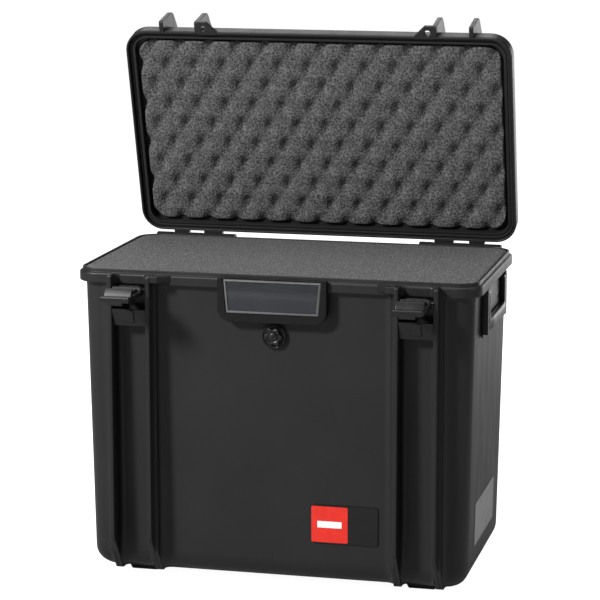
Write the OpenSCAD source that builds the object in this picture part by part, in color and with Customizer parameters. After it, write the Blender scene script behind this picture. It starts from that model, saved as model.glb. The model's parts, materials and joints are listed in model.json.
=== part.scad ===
// Hard equipment case: a deep drafted tub with a hinged lid that stands open,
// foam filled, with two swing latches, padlock eyes, a purge valve, a label
// holder and a fold-out handle on each end. Millimetres, +Z up, front is -Y.
// The origin is the middle of the face that the feet stand on.

/* [Case] */
// Outer width of the rim, side to side
rim_w = 430; // [410:2:460]
// Outer depth of the rim, front to back
rim_d = 240; // [220:2:270]
// Height of the rim's sealing tongue above the floor
rim_top = 334; // [300:2:360]
// Wall thickness of the tub and the lid
wall = 4.5; // [3.5:0.5:6]
// Draft angle of the tub walls, in degrees
draft = 1.0; // [0.5:0.1:1.5]
// Height of the feet under the tub
foot_h = 6; // [4:1:10]

/* [Lid] */
// Height of the closed lid above the sealing tongue
lid_h = 50; // [46:1:60]
// How far the lid stands open, in degrees
lid_angle = 74; // [60:1:95]

/* [Latches] */
// Distance of each latch centre from the middle of the case
latch_x = 152; // [145:1:155]
// Clear width of the channel that a latch sits in
channel_w = 36; // [34:0.5:36]
// How far the open latch lever is swung out from closed, in degrees
lever_open = 90; // [85:1:100]
// Radius of the padlock holes
padlock_r = 3.2; // [3:0.1:3.5]

/* [Handles] */
// Length of the end handles along the case's depth
handle_len = 126; // [110:2:140]
// Height of the handle pivot above the floor
handle_z = 313; // [311:1:313]

/* [Hidden] */
$fn = 48;
eps = 0.01;
hull_fn = 32;

// Rim: a band, a ledge under the top foam and a thin tongue that meets the gasket
rim_r = 24;
overhang = 7;
band_bottom = rim_top - 15;
band_top = rim_top - 4;
ledge_top = band_bottom + 4;
tongue_out = 3;
tongue_in = 5.5;

// Tub walls, measured as half sizes where the wall meets the band
tub_x = rim_w / 2 - overhang;
tub_y = rim_d / 2 - overhang;
tub_r = 17;
edge_r = 22;
slope = tan(draft);

// Lid rim and shell, in the closed position
lip_gap = 0.6;
lid_bottom = band_top + lip_gap;
lid_band_top = rim_top + 13.5;
lid_top = rim_top + lid_h;
lip_t = 2.6;
groove_in = 6.3;
inner_lip_in = 9.5;
gasket_gap = 0.4;
groove_top = rim_top + 4.5;
lid_edge_r = 20;
lid_wall = 4;
fin_gap = 35;
fin_peak = rim_top + 35;
fin_end = 89;

// Hinge line behind the rim
hinge_y = rim_d / 2 + 9;
hinge_z = rim_top - 7;
knuckle_r = 7.8;
hinge_pin_r = 2.5;
running = 0.05;
tub_knuckles = [[106, 121.5], [144.5, 160.5], [179.5, 198]];
lid_knuckles = [[122, 144], [161, 179]];
hinge_pin_ends = [107, 197];

// Ribs: two in front of each latch centre, two behind each hinge
rib_t = 5;
rib_front = rim_d / 2 + 13;
rib_back = rim_d / 2 + 6;
rib_toe = tub_y - 11.5;
rib_lean = 1.29;
rib_inner = latch_x - channel_w / 2 - rib_t;
rib_outer = latch_x + channel_w / 2;
step_t = 3.5;
step_front = tub_y + 8;

// Feet
foot_len = 36;
foot_y = -(tub_y - foot_len - 29);

// Latch
latch_y = -(rim_d / 2 + 7);
latch_z = rim_top - 21;
latch_pin_r = 2.5;
lever_w = channel_w - 5;
plate_out = 3;
plate_in = 2;
boss_r = 6;
boss_w = 22;
lever_len = 53;
lip_w = 17;
nose_reach = 9;
bar_reach = 6.2;
guard_top = rim_top - 39.5;
guard_low = rim_top - 58;
guard_t = 3;
guard_raised_w = 11;

// Padlock eyes on the rim and the lid, next to the inner ribs
eye_x = 124.5;
eye_y = -(rim_d / 2 + 4);
eye_front = rim_d / 2 + 12;
eye_start = eye_x - 15.2;
eye_flat_start = eye_x - 3.2;
eye_t = 7;
lid_eye_t = 4.4;

// Label holder, half widths and heights
tray_half = 58;
tray_low = rim_top - 49;
tray_top = band_top + 2;
tray_front = rim_d / 2 + 5.5;
tray_corner = [3, 4, 8, 10];
card_half_top = 52;
card_half_low = 49;
card_top = rim_top - 4;
card_low = rim_top - 39.5;

// Badge on the front and label on the right end
badge_at = [74.5, 71];
badge_half = [35.5, 21];
badge_t = 1.4;
square_half = 19.5;
square_x = badge_at[0] - 16;
side_label_z = 66;
side_label_half = [60, 23];
stuck_gap = 0.04;

// Handles
plate_x = tub_x + 0.05;
plate_t = 2;
pivot_x = plate_x + plate_t + 2.75;
handle_pin_r = 1.5;
arm_r = 2.6;
cheek_t = 9;
arm_out = handle_len / 2 - cheek_t - 0.5;
arm_in = arm_out - 7.5;
screw_y = 30;
screw_z = handle_z - 15;
plate_low = handle_z - 45;
plate_high = handle_z + 5.4;
cheek_out = 7;
grip_low = handle_z - 39;
grip_h = 13;
grip_bulge = 2.5;
grip_taper = 15;

// Valve
valve_z = rim_top - 64;
valve_boss_r = 15;
valve_boss_out = 0.4;
valve_face = tub_y - (band_bottom - valve_z) * slope + valve_boss_out;
valve_flange_r = 13;
valve_flange_t = 3.95;
valve_stem_r = 7;
valve_stem_in = 8.9;
valve_shaft_r = 3;
o_ring_r = 1;
o_ring_mid = 10;
nut_t = 3.3;

// Where a drafted wall stands at height z, given its half size at the band
function wall_at(half, z) = half - (band_bottom - z) * slope;

// ---- shared shapes -------------------------------------------------------

module rounded(half_x, half_y, r) {
  square([2 * half_x, 2 * (half_y - r)], center = true);
  square([2 * (half_x - r), 2 * half_y], center = true);
  for (sx = [-1, 1], sy = [-1, 1])
    translate([sx * (half_x - r), sy * (half_y - r)]) circle(r);
}

module rim_slab(inset, z0, z1)
  translate([0, 0, z0]) linear_extrude(z1 - z0)
    rounded(rim_w / 2 - inset, rim_d / 2 - inset, rim_r - inset);

module rim_ring(outer_inset, inner_inset, z0, z1)
  difference() {
    rim_slab(outer_inset, z0, z1);
    rim_slab(inner_inset, z0 - 1, z1 + 1);
  }

module thin_slab(half_x, half_y, r, z)
  translate([0, 0, z]) linear_extrude(eps) rounded(half_x, half_y, r, $fn = hull_fn);

// Tub form: drafted walls and a rounded bottom edge, drawn in from the outside by inset
module tub_form(inset, top) {
  r = edge_r - inset;
  floor_z = foot_h + inset;
  corner = tub_r - inset;
  hull() {
    for (a = [0 : 22.5 : 90]) {
      z = floor_z + r * (1 - sin(a));
      draw = inset + r * (1 - cos(a));
      thin_slab(wall_at(tub_x, z) - draw, wall_at(tub_y, z) - draw, max(corner - draw / 2, 4), z);
    }
    thin_slab(wall_at(tub_x, top) - inset, wall_at(tub_y, top) - inset, corner, top - eps);
  }
}

// Lid form: a shallow dish whose top edge is rounded
module lid_form(inset, bottom) {
  r = lid_edge_r - inset;
  shoulder = lid_top - lid_edge_r;
  lean = 3;
  hull() {
    thin_slab(tub_x - 1 - inset, tub_y - 1 - inset, 22 - inset, bottom);
    for (a = [0 : 22.5 : 90]) {
      draw = lean + inset + r * (1 - cos(a));
      thin_slab(tub_x - 1 - draw, tub_y - 1 - draw, max(21 - draw, 3), shoulder + r * sin(a) - eps);
    }
  }
}

// Everything on the lid is drawn closed and swung open about the hinge line
module opened()
  translate([0, hinge_y, hinge_z]) rotate([-lid_angle, 0, 0])
    translate([0, -hinge_y, -hinge_z]) children();

module both_sides()
  for (side = [-1, 1]) on_side(side) children();

// Children are drawn on the right; side -1 mirrors them to the left
module on_side(side)
  if (side < 0) mirror([1, 0, 0]) children(); else children();

// A plate of thickness t that starts at x0 and has its outline drawn in Y and Z
module side_plate(x0, t)
  translate([x0, 0, 0]) rotate([90, 0, 90]) linear_extrude(t) children();

module barrel(span, r)
  translate([span[0], hinge_y, hinge_z]) rotate([0, 90, 0]) cylinder(r = r, h = span[1] - span[0]);

// ---- tub -----------------------------------------------------------------

// Outline of one upright rib, slanting back to the bottom edge
module rib_outline(front, top) {
  bend = foot_h + (front - rib_toe) * rib_lean;
  polygon([[10 - rib_toe, foot_h], [-rib_toe, foot_h], [1.2 - front, bend - 1.6], [-front, bend + 2],
           [-front, top], [-(tub_y - 4), top]]);
}

module front_ribs() {
  for (x0 = [rib_inner, rib_outer]) side_plate(x0, rib_t) rib_outline(rib_front, band_top);
  for (x0 = [rib_inner - step_t, rib_outer + rib_t])
    side_plate(x0, step_t) rib_outline(step_front, band_bottom + 1);
}

module back_ribs()
  mirror([0, 1, 0])
    for (x0 = [rib_inner, rib_outer]) side_plate(x0, rib_t) rib_outline(rib_back, band_bottom - 1);

module eye_outline()
  polygon([[eye_start, 1 - rim_d / 2], [eye_start, -rim_d / 2], [eye_flat_start, -eye_front],
           [rib_inner + 2, -eye_front], [rib_inner + 2, 1 - rim_d / 2]]);

module tub_knuckle(span) {
  barrel(span, knuckle_r);
  translate([span[0], rim_d / 2 - 1, hinge_z - knuckle_r])
    cube([span[1] - span[0], hinge_y - rim_d / 2 + 1, knuckle_r]);
}

module body_shell()
  color("#26272a") difference() {
    union() {
      tub_form(0, band_bottom + 2);
      rim_slab(0, band_bottom, band_top);
      rim_slab(tongue_out, band_top - 1, rim_top);
      translate([0, -valve_face, valve_z]) rotate([-90, 0, 0]) cylinder(r = valve_boss_r, h = wall - 1);
      both_sides() {
        front_ribs();
        back_ribs();
        translate([0, 0, band_top - eye_t]) linear_extrude(eye_t) eye_outline();
        for (span = tub_knuckles) tub_knuckle(span);
      }
    }
    tub_form(wall, ledge_top + 1);
    rim_slab(tongue_in, ledge_top, rim_top + 1);
    both_sides() {
      translate([eye_x, eye_y, band_top - eye_t - 1]) cylinder(r = padlock_r, h = eye_t + 2);
      barrel(hinge_pin_ends, hinge_pin_r + running);
      translate([rib_inner - 1, latch_y, latch_z]) rotate([0, 90, 0])
        cylinder(r = latch_pin_r + 0.02, h = channel_w + 2 * rib_t + 2);
      for (y = [-screw_y, screw_y])
        translate([tub_x - 12, y, screw_z]) rotate([0, 90, 0]) cylinder(r = 1.5, h = 20);
    }
    translate([0, -tub_y - 5, valve_z]) rotate([-90, 0, 0]) cylinder(r = valve_stem_r + 0.1, h = 20);
  }

// A foot under the end of each channel, with sloping sides
module foot(side, back) {
  half = (channel_w - 5) / 2;
  color("#303032") on_side(side) mirror([0, back ? 1 : 0, 0])
    translate([latch_x, foot_y - foot_len, 0]) rotate([90, 0, 180]) linear_extrude(foot_len)
      polygon([[-half + 4, 0], [half - 4, 0], [half, foot_h], [-half, foot_h]]);
}

// ---- foam ----------------------------------------------------------------

// One layer of the block foam, 0.5 mm clear of the tub walls
module foam_layer(z0, z1)
  color("#4a4b4e") difference() {
    intersection() {
      tub_form(wall + 0.5, band_bottom + 1);
      translate([-rim_w / 2, -rim_d / 2, z0]) cube([rim_w, rim_d, z1 - z0]);
    }
    translate([0, -tub_y, valve_z]) rotate([-90, 0, 0]) cylinder(r = valve_flange_r + 1, h = 14);
  }

foam_splits = [foot_h + wall + 0.5, 31, 125, 224, ledge_top];

module foam_top()
  color("#55565a") translate([0, 0, ledge_top]) linear_extrude(rim_top - 0.5 - ledge_top)
    rounded(rim_w / 2 - tongue_in - 0.4, rim_d / 2 - tongue_in - 0.4, rim_r - tongue_in - 0.4);

module lid_foam()
  color("#4a4b4e") opened() lid_form(lid_wall + 0.6, rim_top + 2.5);

// ---- lid -----------------------------------------------------------------

// Guard fin beside a latch, drawn closed: it runs up the lid and over its top edge
module fin_outline()
  polygon([[2 - tub_y, lid_bottom], [-eye_front, lid_bottom], [2 - eye_front, fin_peak - 5],
           [4.5 - eye_front, fin_peak], [-(fin_end + 19), lid_top - 0.3], [-fin_end, lid_top - 0.3],
           [-fin_end, lid_top - 19]]);

module lid_knuckle(span) {
  barrel(span, knuckle_r);
  translate([span[0], rim_d / 2 - 0.5, lid_bottom])
    cube([span[1] - span[0], 12.5, hinge_z + 11 - lid_bottom]);
}

module lid_closed()
  difference() {
    union() {
      rim_slab(0, lid_bottom, lid_band_top);
      lid_form(0, lid_band_top - 4);
      both_sides() {
        for (x0 = [latch_x - fin_gap / 2 - rib_t, latch_x + fin_gap / 2])
          side_plate(x0, rib_t) fin_outline();
        translate([0, 0, lid_bottom]) linear_extrude(lid_eye_t) eye_outline();
        for (span = lid_knuckles) lid_knuckle(span);
      }
    }
    lid_form(lid_wall, lid_band_top - 6);
    rim_slab(lip_t, lid_bottom - 1, rim_top + 0.3);
    rim_ring(lip_t, groove_in, rim_top, groove_top);
    rim_slab(inner_lip_in, lid_bottom - 1, lid_band_top - 4);
    both_sides() {
      translate([eye_x, eye_y, lid_bottom - 1]) cylinder(r = padlock_r, h = lid_eye_t + 2);
      barrel(hinge_pin_ends, hinge_pin_r + running);
    }
  }

module lid_shell() color("#26272a") opened() lid_closed();

module lid_gasket()
  color("#1b1b1c") opened()
    rim_ring(lip_t + 0.2, groove_in - 0.2, rim_top + gasket_gap, groove_top);

module hinge_pin(side)
  color("#9a9da1") on_side(side) barrel([hinge_pin_ends[0] + 0.2, hinge_pin_ends[1] - 0.2], hinge_pin_r);

// ---- latches -------------------------------------------------------------

// Lever outline in Y and Z about its pivot, drawn upright as it stands when closed
module lever_plate_outline()
  polygon([[-plate_out, -4], [plate_in, -4], [plate_in, lever_len - 7], [plate_in + 1, lever_len - 5],
           [plate_in + 1, lever_len - 1], [plate_in, lever_len], [-plate_out, lever_len]]);

// The nose that comes down over the shoulder of the lid's band
module lever_nose_outline() {
  shoulder = lid_band_top - latch_z;
  polygon([[-2, shoulder + 0.6], [nose_reach, shoulder + 0.6], [nose_reach, shoulder + 3],
           [3, shoulder + 7], [-2, shoulder + 8]]);
}

module lever_lip_outline()
  polygon([[1 - plate_out, lever_len - 9], [-boss_r, lever_len - 4], [-boss_r, lever_len],
           [1 - plate_out, lever_len]]);

// The cross bar that stiffens the lever near its pivot
module lever_bar_outline()
  polygon([[0, 5.5], [bar_reach, 6.5], [bar_reach, 11], [0, 12.5]]);

module latch_lever(side)
  color("#1f2022") on_side(side) translate([latch_x, latch_y, latch_z]) rotate([lever_open, 0, 0])
    difference() {
      union() {
        translate([-boss_w / 2, 0, 0]) rotate([0, 90, 0]) cylinder(r = boss_r, h = boss_w);
        side_plate(-lever_w / 2, lever_w) lever_plate_outline();
        side_plate(-lever_w / 2 + 1, lever_w - 2) lever_nose_outline();
        side_plate(-lip_w / 2, lip_w) lever_lip_outline();
        side_plate(-lever_w / 2, lever_w) lever_bar_outline();
      }
      translate([-boss_w, 0, 0]) rotate([0, 90, 0])
        cylinder(r = latch_pin_r + running, h = 2 * boss_w);
    }

module latch_pin(side)
  color("#9a9da1") on_side(side) translate([rib_inner + 0.5, latch_y, latch_z]) rotate([0, 90, 0])
    cylinder(r = latch_pin_r, h = channel_w + 2 * rib_t - 1);

// Sloping plate between the ribs below the latch pivot
module latch_guard(side) {
  front = -rib_front;
  back = front + 6;
  color("#1f2022") on_side(side) union() {
    side_plate(latch_x - channel_w / 2, channel_w)
      polygon([[front, guard_top], [back, guard_low], [back + guard_t, guard_low],
               [front + guard_t, guard_top]]);
    side_plate(latch_x - guard_raised_w / 2, guard_raised_w)
      polygon([[front - 1.2, guard_top - 1], [back - 3, guard_low + 4.5], [back, guard_low + 4.5],
               [front + 2, guard_top - 1]]);
  }
}

// ---- label holder, badge and labels --------------------------------------

module tray_outline() {
  c = tray_corner;
  polygon([[tray_half, tray_top], [tray_half, tray_low + c[2] + 6], [tray_half - c[0], tray_low + c[1]],
           [tray_half - c[2], tray_low], [c[2] - tray_half, tray_low],
           [c[0] - tray_half, tray_low + c[1]], [-tray_half, tray_low + c[2] + 6],
           [-tray_half, tray_top]]);
}

module label_outline(grow)
  polygon([[-card_half_top - grow, card_top + grow], [card_half_top + grow, card_top + grow],
           [card_half_low + grow, card_low - grow], [-card_half_low - grow, card_low - grow]]);

// Holder that hangs in front of the rim's band and rests on the wall below it
module label_tray()
  color("#222326") difference() {
    translate([0, -tub_y, 0]) rotate([90, 0, 0]) linear_extrude(tray_front - tub_y) tray_outline();
    translate([-rim_w / 2, -rim_d / 2 - 0.1, band_bottom]) cube([rim_w, 20, 30]);
    translate([-rim_w / 2, -tub_y - 0.1, tray_low - 5]) cube([rim_w, 20, 60]);
    translate([0, 3 - tray_front, 0]) rotate([90, 0, 0]) linear_extrude(10) label_outline(0.3);
  }

module label_card()
  color("#3a3c40") translate([0, 3 - tray_front, 0]) rotate([90, 0, 0])
    linear_extrude(0.6) label_outline(0);

module label_window()
  color([0.75, 0.8, 0.85, 0.4]) translate([0, 2.2 - tray_front, 0]) rotate([90, 0, 0])
    linear_extrude(1.5) label_outline(0);

// Flat plate lying on the drafted front wall, centred at x and z
module on_front(x, z)
  translate([x, -wall_at(tub_y, z) - stuck_gap, z]) rotate([90 + draft, 0, 0]) children();

module badge_plate()
  color("#101012") on_front(badge_at[0], badge_at[1])
    linear_extrude(badge_t) rounded(badge_half[0], badge_half[1], 3);

module badge_square()
  color("#c8102e") on_front(square_x, badge_at[1]) translate([0, 0, badge_t + stuck_gap])
    linear_extrude(0.6) rounded(square_half, square_half, 1.5);

module side_label()
  color("#8c8d90") translate([wall_at(tub_x, side_label_z) + stuck_gap, 0, side_label_z])
    rotate([90 + draft, 0, 90]) linear_extrude(0.4) rounded(side_label_half[0], side_label_half[1], 2);

// ---- purge valve ---------------------------------------------------------

// Children are drawn along +Z and stand on the front wall, +Z outwards
module on_valve() translate([0, -valve_face, valve_z]) rotate([90, 0, 0]) children();

module valve_body()
  color("#1f2022") on_valve() difference() {
    union() {
      translate([0, 0, 0.05]) cylinder(r = valve_flange_r, h = valve_flange_t);
      translate([0, 0, -valve_stem_in]) cylinder(r = valve_stem_r, h = valve_stem_in + 1);
    }
    translate([0, 0, -valve_stem_in - 1]) cylinder(r = valve_shaft_r + running, h = 2 * valve_stem_in);
    translate([0, 0, -0.5]) difference() {
      cylinder(r = o_ring_mid + 1.4, h = 2.6);
      translate([0, 0, -1]) cylinder(r = o_ring_mid - 1.4, h = 5);
    }
  }

module valve_o_ring()
  color("#151515") on_valve() translate([0, 0, o_ring_r + 0.05]) rotate_extrude()
    translate([o_ring_mid, 0]) circle(o_ring_r);

module valve_nut()
  color("#1f2022") on_valve() translate([0, 0, -valve_stem_in + 0.3]) difference() {
    cylinder(r = 11, h = nut_t, $fn = 6);
    translate([0, 0, -1]) cylinder(r = valve_stem_r + 0.02, h = 6);
  }

module valve_membrane()
  color("#e8e8e4") on_valve() translate([0, 0, -valve_stem_in - 0.6]) cylinder(r = 6, h = 0.6);

module valve_knob()
  color("#1b1c1e") on_valve() union() {
    translate([0, 0, 4.2]) linear_extrude(4.3) {
      circle(8);
      for (k = [0 : 5]) rotate(k * 60) translate([7.4, 0]) circle(2.4);
    }
    translate([0, 0, -6]) cylinder(r = valve_shaft_r, h = 11);
  }

// ---- end handles ---------------------------------------------------------

module handle_base(side)
  color("#1f2022") on_side(side) difference() {
    union() {
      translate([plate_x, -handle_len / 2, plate_low])
        cube([plate_t, handle_len, plate_high - plate_low]);
      for (sy = [-1, 1])
        translate([plate_x, sy * (handle_len - cheek_t) / 2 - cheek_t / 2, plate_low + 3])
          cube([cheek_out, cheek_t, plate_high - plate_low - 3]);
    }
    translate([pivot_x, -handle_len, handle_z]) rotate([-90, 0, 0])
      cylinder(r = handle_pin_r + 0.02, h = 2 * handle_len);
    for (y = [-screw_y, screw_y]) translate([plate_x - 1, y, screw_z]) rotate([0, 90, 0]) {
      cylinder(r = 1.6, h = 5);
      translate([0, 0, 1.5]) cylinder(r = 3.4, h = 3);
    }
  }

// The grip bulges outwards between its arms
module grip_outline() {
  bulge_x = pivot_x + arm_r + grip_bulge;
  polygon([[pivot_x - arm_r, -arm_out], [pivot_x + arm_r, -arm_out],
           [bulge_x, -arm_out + grip_taper], [bulge_x, arm_out - grip_taper],
           [pivot_x + arm_r, arm_out], [pivot_x - arm_r, arm_out]]);
}

module handle(side)
  color("#1b1c1e") on_side(side) difference() {
    union() {
      for (sy = [-1, 1]) {
        translate([pivot_x, min(sy * arm_in, sy * arm_out), handle_z]) rotate([-90, 0, 0])
          cylinder(r = arm_r, h = arm_out - arm_in);
        translate([pivot_x - arm_r, min(sy * arm_in, sy * arm_out), handle_z - 30])
          cube([2 * arm_r, arm_out - arm_in, 30]);
      }
      translate([0, 0, grip_low]) linear_extrude(grip_h) grip_outline();
    }
    translate([pivot_x, -handle_len, handle_z]) rotate([-90, 0, 0])
      cylinder(r = handle_pin_r + running, h = 2 * handle_len);
  }

module handle_pins(side)
  color("#9a9da1") on_side(side)
    for (y0 = [-handle_len / 2 + 1, arm_in + 0.5])
      translate([pivot_x, y0, handle_z]) rotate([-90, 0, 0])
        cylinder(r = handle_pin_r, h = handle_len / 2 - arm_in - 1.5);

module handle_screws(side)
  color("#9a9da1") on_side(side)
    for (y = [-screw_y, screw_y]) translate([tub_x - 4.3, y, screw_z]) rotate([0, 90, 0]) {
      cylinder(r = 1.45, h = 5.5);
      translate([0, 0, 4.9]) cylinder(r = 3.3, h = 1.3);
    }

// ---- nodes ---------------------------------------------------------------

body_shell();
lid_shell();
lid_gasket();
lid_foam();
foam_layer(foam_splits[0], foam_splits[1]);  // foam_base_pad
foam_layer(foam_splits[1], foam_splits[2]);  // foam_lower
foam_layer(foam_splits[2], foam_splits[3]);  // foam_middle
foam_layer(foam_splits[3], foam_splits[4]);  // foam_upper
foam_top();
foot(-1, false);  // foot_front_left
foot(1, false);  // foot_front_right
foot(-1, true);  // foot_back_left
foot(1, true);  // foot_back_right
hinge_pin(-1);  // hinge_pin_left
hinge_pin(1);  // hinge_pin_right
latch_lever(-1);  // latch_lever_left
latch_lever(1);  // latch_lever_right
latch_pin(-1);  // latch_pin_left
latch_pin(1);  // latch_pin_right
latch_guard(-1);  // latch_guard_left
latch_guard(1);  // latch_guard_right
label_tray();
label_card();
label_window();
valve_body();
valve_o_ring();
valve_nut();
valve_membrane();
valve_knob();
badge_plate();
badge_square();
side_label();
handle_base(-1);  // handle_base_left
handle_base(1);  // handle_base_right
handle(-1);  // handle_left
handle(1);  // handle_right
handle_pins(-1);  // handle_pins_left
handle_pins(1);  // handle_pins_right
handle_screws(-1);  // handle_screws_left
handle_screws(1);  // handle_screws_right
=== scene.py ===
"""Looks of the hard equipment case. Shapes are made in millimetres in the part's own frame and stored in metres."""

import json
import math

import bmesh
import bpy
from mathutils import Matrix, Vector


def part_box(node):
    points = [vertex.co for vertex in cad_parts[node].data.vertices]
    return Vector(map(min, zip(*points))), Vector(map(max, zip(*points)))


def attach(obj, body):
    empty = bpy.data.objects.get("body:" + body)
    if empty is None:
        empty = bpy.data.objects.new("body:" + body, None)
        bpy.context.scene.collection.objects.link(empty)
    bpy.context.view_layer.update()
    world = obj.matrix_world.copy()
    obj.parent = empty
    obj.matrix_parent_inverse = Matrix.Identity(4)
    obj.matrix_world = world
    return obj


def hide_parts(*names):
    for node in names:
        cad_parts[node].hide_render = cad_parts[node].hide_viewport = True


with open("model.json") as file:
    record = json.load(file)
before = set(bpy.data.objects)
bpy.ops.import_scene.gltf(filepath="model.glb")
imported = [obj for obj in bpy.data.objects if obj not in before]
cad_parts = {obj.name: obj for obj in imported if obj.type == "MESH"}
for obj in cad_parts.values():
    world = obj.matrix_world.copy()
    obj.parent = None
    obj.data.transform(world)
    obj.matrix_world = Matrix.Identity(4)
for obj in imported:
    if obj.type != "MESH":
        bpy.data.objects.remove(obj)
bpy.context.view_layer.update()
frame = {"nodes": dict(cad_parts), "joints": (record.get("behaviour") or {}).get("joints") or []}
MM = 0.001
JOINTS = {j["name"]: j for j in frame["joints"]}


def sind(degrees):
    return math.sin(math.radians(degrees))


def cosd(degrees):
    return math.cos(math.radians(degrees))


def turn(degrees, axis):
    """A turn about an axis through the origin."""
    return Matrix.Rotation(math.radians(degrees), 4, axis)


# ---- camera: the photograph's viewing angle, in degrees and metres, lens and sensor in mm ----

CAMERA_AZIMUTH, CAMERA_ELEVATION, CAMERA_ROLL = 13.45, 10.68, 0.08
CAMERA_DISTANCE = 2.649
CAMERA_TARGET = Vector((0, 0, 0.2872))
CAMERA_LENS, CAMERA_SENSOR = 147.492, 36
CAMERA_CLIP_END = 50


def make_camera():
    data = bpy.data.cameras.new("Camera")
    camera = bpy.data.objects.new("Camera", data)
    bpy.context.scene.collection.objects.link(camera)
    away = Vector((cosd(CAMERA_ELEVATION) * sind(CAMERA_AZIMUTH),
                   -cosd(CAMERA_ELEVATION) * cosd(CAMERA_AZIMUTH), sind(CAMERA_ELEVATION)))
    facing = (-away).to_track_quat("-Z", "Y").to_matrix().to_4x4()
    camera.matrix_world = (Matrix.Translation(CAMERA_TARGET + away * CAMERA_DISTANCE) @ facing
                           @ turn(CAMERA_ROLL, "Z"))
    data.sensor_width = CAMERA_SENSOR
    data.lens = CAMERA_LENS
    data.clip_end = CAMERA_CLIP_END
    bpy.context.scene.camera = camera


# ---- materials: texture scales are per metre, bump depths in millimetres ----

NOISE_LOW, NOISE_HIGH = 0.3, 0.7        # the part of a noise's range that a tone or gloss is spread over


class Nodes:
    """A node tree being built: add() makes a node, link() joins two sockets."""

    def __init__(self, name):
        self.material = bpy.data.materials.new(name)
        self.material.use_nodes = True
        self.tree = self.material.node_tree
        self.shader = self.tree.nodes["Principled BSDF"]
        self.coords = self.add("ShaderNodeTexCoord").outputs["Object"]

    def add(self, kind, **settings):
        made = self.tree.nodes.new(kind)
        for key, value in settings.items():
            setattr(made, key, value)
        return made

    def link(self, source, target):
        self.tree.links.new(source, target)

    def set(self, **values):
        for key, value in values.items():
            self.shader.inputs[key.replace("_", " ")].default_value = value

    def noise(self, scale, detail, rough=0.5, stretch=None):
        made = self.add("ShaderNodeTexNoise")
        made.inputs["Scale"].default_value = scale
        made.inputs["Detail"].default_value = detail
        made.inputs["Roughness"].default_value = rough
        source = self.coords
        if stretch:
            mapping = self.add("ShaderNodeMapping")
            mapping.inputs["Scale"].default_value = stretch
            self.link(source, mapping.inputs["Vector"])
            source = mapping.outputs["Vector"]
        self.link(source, made.inputs["Vector"])
        return made.outputs["Fac"]

    def cells(self, scale):
        """Distance to the nearest cell's middle."""
        made = self.add("ShaderNodeTexVoronoi", feature="F1")
        made.inputs["Scale"].default_value = scale
        self.link(self.coords, made.inputs["Vector"])
        return made.outputs["Distance"]

    def ramp(self, source, stops):
        """Colours by value: stops are (value, colour)."""
        made = self.add("ShaderNodeValToRGB")
        elements = made.color_ramp.elements
        while len(elements) < len(stops):
            elements.new(0.5)
        for element, (place, colour) in zip(elements, stops):
            element.position = place
            element.color = (*colour, 1)
        self.link(source, made.inputs["Fac"])
        return made.outputs["Color"]

    def tone(self, source, low, high):
        """Base colour between two colours, following a noise."""
        self.colour(self.ramp(source, [(NOISE_LOW, low), (NOISE_HIGH, high)]))

    def spread(self, source, low, high):
        """A number between low and high, following a noise."""
        made = self.add("ShaderNodeMapRange")
        for key, value in (("From Min", NOISE_LOW), ("From Max", NOISE_HIGH), ("To Min", low), ("To Max", high)):
            made.inputs[key].default_value = value
        self.link(source, made.inputs["Value"])
        return made.outputs["Result"]

    def math(self, operation, a, b):
        made = self.add("ShaderNodeMath", operation=operation)
        for socket, value in zip(made.inputs, (a, b)):
            if isinstance(value, (int, float)):
                socket.default_value = value
            else:
                self.link(value, socket)
        return made.outputs["Value"]

    def bump(self, source, strength, depth_mm, onto=None):
        made = self.add("ShaderNodeBump")
        made.inputs["Strength"].default_value = strength
        made.inputs["Distance"].default_value = depth_mm * MM
        self.link(source, made.inputs["Height"])
        if onto is not None:
            self.link(onto, made.inputs["Normal"])
        return made.outputs["Normal"]

    def colour(self, source):
        self.link(source, self.shader.inputs["Base Color"])

    def roughness(self, source):
        self.link(source, self.shader.inputs["Roughness"])

    def normal(self, source):
        self.link(source, self.shader.inputs["Normal"])


def grey(value):
    return (value, value, value)


def moulded_resin(name, base, rough, grain, grain_depth, specular):
    """Moulded plastic: a fine sandblasted grain, slow tone changes and faint rub marks."""
    m = Nodes(name)
    m.tone(m.noise(9, 4), grey(base * 0.88), grey(base * 1.14))
    rub = m.noise(55, 5, 0.6, stretch=(1, 1, 0.25))
    m.roughness(m.spread(rub, rough - 0.05, rough + 0.06))
    coarse = m.bump(m.noise(grain * 0.35, 2), 0.16, grain_depth)
    m.normal(m.bump(m.noise(grain, 3, 0.6), 0.35, grain_depth, coarse))
    m.set(Specular_IOR_Level=specular)
    return m.material


def open_cell_foam(name, dark, light, cells):
    """Charcoal polyurethane foam: open cells, so many to a metre; its tone is darkest in the cells' middles,
    painted shade in the pores, and lightest on the struts, painted light.
    """
    m = Nodes(name)
    walls = m.cells(cells)
    fine = m.noise(cells * 1.5, 3, 0.7)
    # the cell pattern is the foam's texture; its near-black middles are painted shade in the pores and its light
    # rims painted light on the struts
    cells_and_painted_shade = m.math("ADD", m.math("MULTIPLY", walls, 0.55), m.math("MULTIPLY", fine, 0.75))
    m.colour(m.ramp(cells_and_painted_shade, [(0.36, grey(dark)), (0.60, grey((dark + light) / 2)), (0.86, grey(light))]))
    pores = m.bump(walls, 0.9, 0.7)
    m.normal(m.bump(m.noise(cells * 0.4, 4, 0.7), 0.55, 0.6, pores))
    m.roughness(m.spread(fine, 0.85, 1.0))
    m.set(Specular_IOR_Level=0.12)
    return m.material


def brushed_steel(name, low, high):
    """Steel with fine lines along X."""
    m = Nodes(name)
    lines = m.noise(140, 4, 0.6, stretch=(0.15, 6, 6))
    m.tone(lines, grey(low), grey(high))
    m.roughness(m.spread(lines, 0.22, 0.38))
    m.normal(m.bump(lines, 0.12, 0.05))
    m.set(Metallic=1.0)
    return m.material


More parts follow.
